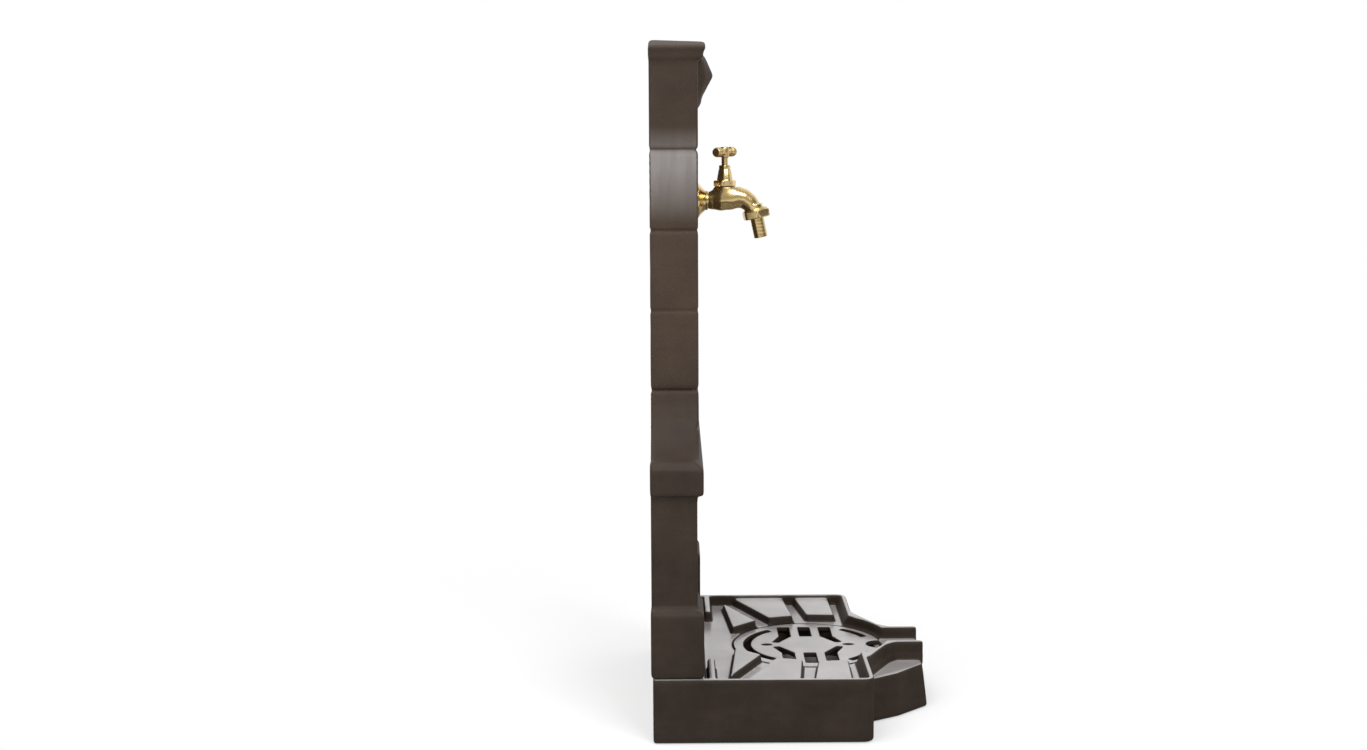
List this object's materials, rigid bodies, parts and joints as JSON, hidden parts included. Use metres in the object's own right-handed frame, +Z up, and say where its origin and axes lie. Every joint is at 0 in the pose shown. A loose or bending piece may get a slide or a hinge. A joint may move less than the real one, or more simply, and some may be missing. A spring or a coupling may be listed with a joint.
{
  "type": "garden fountain",
  "caption": "Cast garden fountain: column with a brass bib tap above a drip tray with a round lift-out drain grate.",
  "frame": {"origin": "on the floor, under the middle of the whole fountain", "axes": "+Z up, -Y to the front where the tap points, +X to the fountain's left as it faces forward"},
  "size_m": [0.372, 0.334, 0.8],
  "materials": {
    "cast_brown": "dark brown paint on a sand casting, rubbed grey on top faces",
    "cast_grate": "dark brown paint on a casting, with a grey bloom",
    "tap_brass": "polished cast brass",
    "handle_brass": "tumbled brass",
    "union_brass": "machined brass",
    "spindle_brass": "turned brass",
    "fitting_brass": "rough cast brass",
    "copper_pipe": "drawn copper, dull",
    "zinc_steel": "zinc plated",
    "black_rubber": "matte",
    "fibre": "dark vulcanised fibre",
    "drain_plastic": "moulded grey plastic"
  },
  "bodies": {
    "root": {"column_casting": "cast_brown", "tray_casting": "cast_brown", "tap_body": "tap_brass", "tap_bonnet": "tap_brass", "tap_rosette": "tap_brass", "gland_nut": "tap_brass", "union_nut": "union_brass", "hose_tail": "union_brass", "tap_back_nut": "fitting_brass", "supply_elbow": "fitting_brass", "inlet_elbow": "fitting_brass", "inlet_nipple": "fitting_brass", "riser_pipe": "copper_pipe", "base_bolts": "zinc_steel", "base_nuts": "zinc_steel", "base_washers": "zinc_steel", "clip_screws": "zinc_steel", "pipe_clips": "zinc_steel", "tap_back_washer": "zinc_steel", "union_washer": "black_rubber", "waste_gasket": "black_rubber", "bonnet_washer": "fibre", "gland_packing": "fibre", "waste_body": "drain_plastic", "waste_nut": "drain_plastic"},
    "valve_lifter": {"valve_jumper": "spindle_brass", "valve_washer": "black_rubber"},
    "handle": {"tap_spindle": "spindle_brass", "tap_handle": "handle_brass", "handle_screw": "zinc_steel"},
    "grate": {"drain_grate": "cast_grate"}
  },
  "joints": [
    {"name": "valve_lift", "type": "slide", "parent": "root", "child": "valve_lifter", "axis": [0, 0, 1], "range_m": [0, 0.0045]},
    {"name": "handle_turn", "type": "hinge", "parent": "valve_lifter", "child": "handle", "pos_m": [0, 0.077, 0.65], "axis": [0, 0, 1], "range_deg": [0, 812]},
    {"name": "grate_lift", "type": "slide", "parent": "root", "child": "grate", "axis": [0, 0, 1], "range_m": [0, 0.08]}
  ],
  "couplings": [
    {"joint": "handle_turn", "follows": "valve_lift", "rad_per_m": 3141.6}
  ]
}
